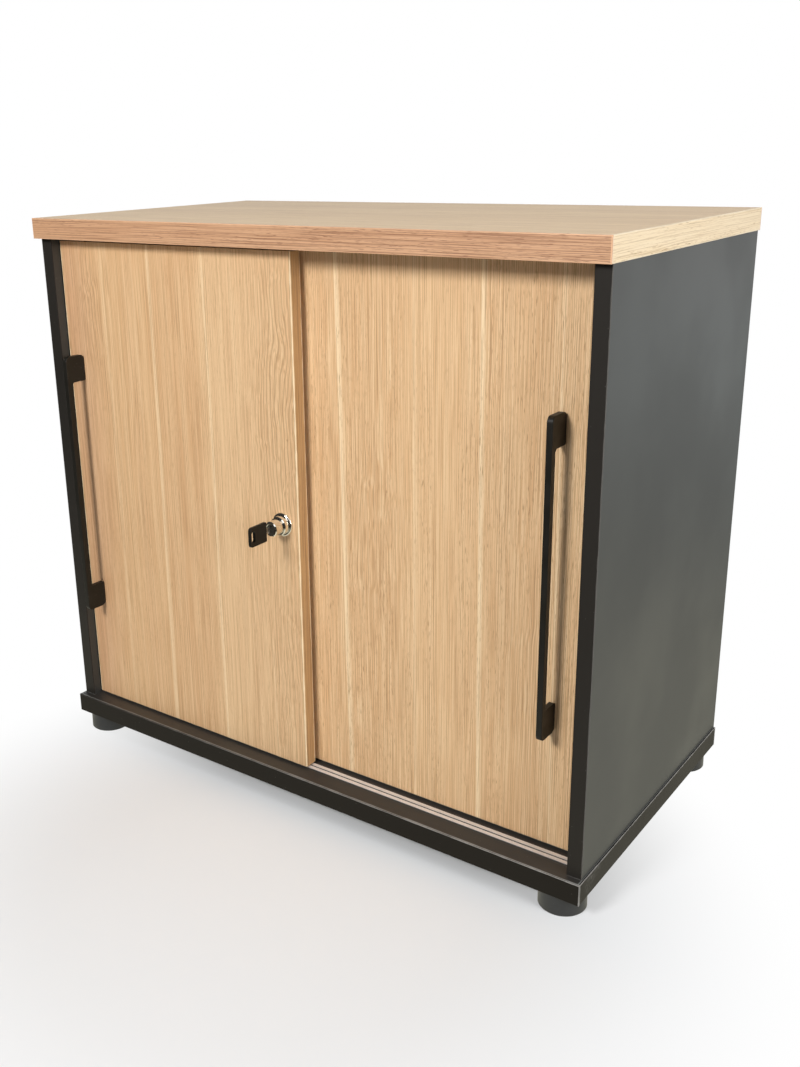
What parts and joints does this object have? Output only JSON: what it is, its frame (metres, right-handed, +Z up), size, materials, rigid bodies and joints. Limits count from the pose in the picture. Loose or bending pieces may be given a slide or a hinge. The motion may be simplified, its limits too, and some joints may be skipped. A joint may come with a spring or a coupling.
{
  "type": "sliding-door credenza",
  "caption": "Low office credenza with overlapping sliding doors, D handles, a keyed push lock, an inner shelf and levelling feet.",
  "frame": {"origin": "on the floor, below the middle of the whole piece's box, key included", "axes": "+X to the right along the width, +Y from the doors to the back, +Z up"},
  "size_m": [0.8, 0.463, 0.734],
  "materials": {
    "oak_top": "satin oak-effect laminate",
    "oak_band": "satin oak-effect edge band",
    "pale_band": "pale end-grain edge band",
    "dark_board": "matte dark graphite laminate",
    "dark_band": "matte dark edge band",
    "graphite_board": "matte graphite laminate",
    "graphite_band": "matte dark edge band",
    "back_board": "matte graphite laminate",
    "shelf_board": "matte graphite laminate",
    "shelf_band": "matte graphite edge band",
    "oak_door": "satin oak-effect laminate, upright grain",
    "oak_door_band": "satin oak-effect edge band",
    "black_handle": "satin black powder coat",
    "zinc_steel": "bright zinc plate",
    "cam_zinc": "cast zinc, tumbled",
    "beech": "raw beech",
    "clear_bumper": "soft translucent grey",
    "brass_insert": "turned brass",
    "track_aluminium": "clear anodised",
    "carrier_plastic": "moulded dark grey",
    "wheel_nylon": "moulded off-white",
    "lock_chrome": "polished chrome plate",
    "lock_steel": "bright steel",
    "key_plastic": "moulded black, satin",
    "foot_plastic": "moulded mid-grey, fine satin"
  },
  "bodies": {
    "root": {"top_panel": "oak_top", "base_panel": "dark_board", "top_front_band": "oak_band", "top_back_band": "oak_band", "top_end_bands": "pale_band", "base_front_band": "dark_band", "base_back_band": "dark_band", "base_end_bands": "dark_band", "left_side_panel": "graphite_board", "right_side_panel": "graphite_board", "side_front_bands": "graphite_band", "back_panel": "back_board", "shelf": "shelf_board", "shelf_front_band": "shelf_band", "shelf_pins": "zinc_steel", "bottom_tracks": "track_aluminium", "track_screws": "zinc_steel", "top_tracks": "track_aluminium", "cam_housings": "cam_zinc", "cam_bolts": "zinc_steel", "wood_dowels": "beech", "door_bumpers": "clear_bumper", "foot_inserts": "brass_insert"},
    "front_door": {"front_door_panel": "oak_door", "front_door_edge_bands": "oak_door_band", "front_handle": "black_handle", "front_handle_screws": "zinc_steel", "front_wheel_carriers": "carrier_plastic", "front_wheel_axles": "zinc_steel", "front_top_guides": "carrier_plastic", "lock_rosette": "lock_chrome", "lock_barrel": "lock_chrome", "lock_fixing_nut": "lock_steel", "lock_spring": "lock_steel"},
    "rear_door": {"rear_door_panel": "oak_door", "rear_door_edge_bands": "oak_door_band", "rear_handle": "black_handle", "rear_handle_screws": "zinc_steel", "rear_wheel_carriers": "carrier_plastic", "rear_wheel_axles": "zinc_steel", "rear_top_guides": "carrier_plastic", "lock_strike_bush": "lock_steel"},
    "lock_cylinder": {"lock_push_cylinder": "lock_chrome", "lock_bolt": "lock_steel"},
    "lock_plug": {"lock_plug": "brass_insert"},
    "key": {"key_blade": "lock_steel", "key_head": "key_plastic"},
    "front_left_wheel": {"front_left_wheel": "wheel_nylon"},
    "front_right_wheel": {"front_right_wheel": "wheel_nylon"},
    "rear_left_wheel": {"rear_left_wheel": "wheel_nylon"},
    "rear_right_wheel": {"rear_right_wheel": "wheel_nylon"},
    "front_left_foot_pad": {"front_left_foot_pad": "foot_plastic"},
    "front_left_foot_stem": {"front_left_foot_stem": "zinc_steel"},
    "front_right_foot_pad": {"front_right_foot_pad": "foot_plastic"},
    "front_right_foot_stem": {"front_right_foot_stem": "zinc_steel"},
    "rear_left_foot_pad": {"rear_left_foot_pad": "foot_plastic"},
    "rear_left_foot_stem": {"rear_left_foot_stem": "zinc_steel"},
    "rear_right_foot_pad": {"rear_right_foot_pad": "foot_plastic"},
    "rear_right_foot_stem": {"rear_right_foot_stem": "zinc_steel"}
  },
  "joints": [
    {"name": "front_door_slide", "type": "slide", "parent": "root", "child": "front_door", "axis": [1, 0, 0], "range_m": [0, 0.322]},
    {"name": "rear_door_slide", "type": "slide", "parent": "root", "child": "rear_door", "axis": [1, 0, 0], "range_m": [-0.322, 0]},
    {"name": "front_left_wheel_spin", "type": "hinge", "parent": "front_door", "child": "front_left_wheel", "pos_m": [-0.318, -0.1605, 0.0578], "axis": [0, 1, 0], "range_deg": [0, 1560]},
    {"name": "front_right_wheel_spin", "type": "hinge", "parent": "front_door", "child": "front_right_wheel", "pos_m": [-0.051, -0.1605, 0.0578], "axis": [0, 1, 0], "range_deg": [0, 1560]},
    {"name": "rear_left_wheel_spin", "type": "hinge", "parent": "rear_door", "child": "rear_left_wheel", "pos_m": [0.027, -0.136, 0.0578], "axis": [0, 1, 0], "range_deg": [-1560, 0]},
    {"name": "rear_right_wheel_spin", "type": "hinge", "parent": "rear_door", "child": "rear_right_wheel", "pos_m": [0.318, -0.136, 0.0578], "axis": [0, 1, 0], "range_deg": [-1560, 0]},
    {"name": "lock_push", "type": "slide", "parent": "front_door", "child": "lock_cylinder", "axis": [0, 1, 0], "range_m": [0, 0.01], "stiffness_N_per_m": 300, "springref_m": -0.005, "deforming": ["lock_spring"]},
    {"name": "key_turn", "type": "hinge", "parent": "lock_cylinder", "child": "lock_plug", "pos_m": [-0.016, -0.193, 0.3785], "axis": [0, 1, 0], "range_deg": [0, 90]},
    {"name": "key_pull", "type": "slide", "parent": "lock_plug", "child": "key", "axis": [0, -1, 0], "range_m": [0, 0.03]},
    {"name": "front_left_foot_level", "type": "slide", "parent": "root", "child": "front_left_foot_pad", "axis": [0, 0, -1], "range_m": [0, 0.01]},
    {"name": "front_left_foot_screw", "type": "hinge", "parent": "front_left_foot_pad", "child": "front_left_foot_stem", "pos_m": [-0.368, -0.165, 0.02], "axis": [0, 0, -1], "range_deg": [0, 2410]},
    {"name": "front_right_foot_level", "type": "slide", "parent": "root", "child": "front_right_foot_pad", "axis": [0, 0, -1], "range_m": [0, 0.01]},
    {"name": "front_right_foot_screw", "type": "hinge", "parent": "front_right_foot_pad", "child": "front_right_foot_stem", "pos_m": [0.368, -0.165, 0.02], "axis": [0, 0, -1], "range_deg": [0, 2410]},
    {"name": "rear_left_foot_level", "type": "slide", "parent": "root", "child": "rear_left_foot_pad", "axis": [0, 0, -1], "range_m": [0, 0.01]},
    {"name": "rear_left_foot_screw", "type": "hinge", "parent": "rear_left_foot_pad", "child": "rear_left_foot_stem", "pos_m": [-0.368, 0.203, 0.02], "axis": [0, 0, -1], "range_deg": [0, 2410]},
    {"name": "rear_right_foot_level", "type": "slide", "parent": "root", "child": "rear_right_foot_pad", "axis": [0, 0, -1], "range_m": [0, 0.01]},
    {"name": "rear_right_foot_screw", "type": "hinge", "parent": "rear_right_foot_pad", "child": "rear_right_foot_stem", "pos_m": [0.368, 0.203, 0.02], "axis": [0, 0, -1], "range_deg": [0, 2410]}
  ],
  "couplings": [
    {"joint": "front_left_wheel_spin", "follows": "front_door_slide", "rad_per_m": 83.333},
    {"joint": "front_right_wheel_spin", "follows": "front_door_slide", "rad_per_m": 83.333},
    {"joint": "rear_left_wheel_spin", "follows": "rear_door_slide", "rad_per_m": 83.333},
    {"joint": "rear_right_wheel_spin", "follows": "rear_door_slide", "rad_per_m": 83.333},
    {"joint": "front_left_foot_screw", "follows": "front_left_foot_level", "rad_per_m": 4188.8},
    {"joint": "front_right_foot_screw", "follows": "front_right_foot_level", "rad_per_m": 4188.8},
    {"joint": "rear_left_foot_screw", "follows": "rear_left_foot_level", "rad_per_m": 4188.8},
    {"joint": "rear_right_foot_screw", "follows": "rear_right_foot_level", "rad_per_m": 4188.8}
  ]
}
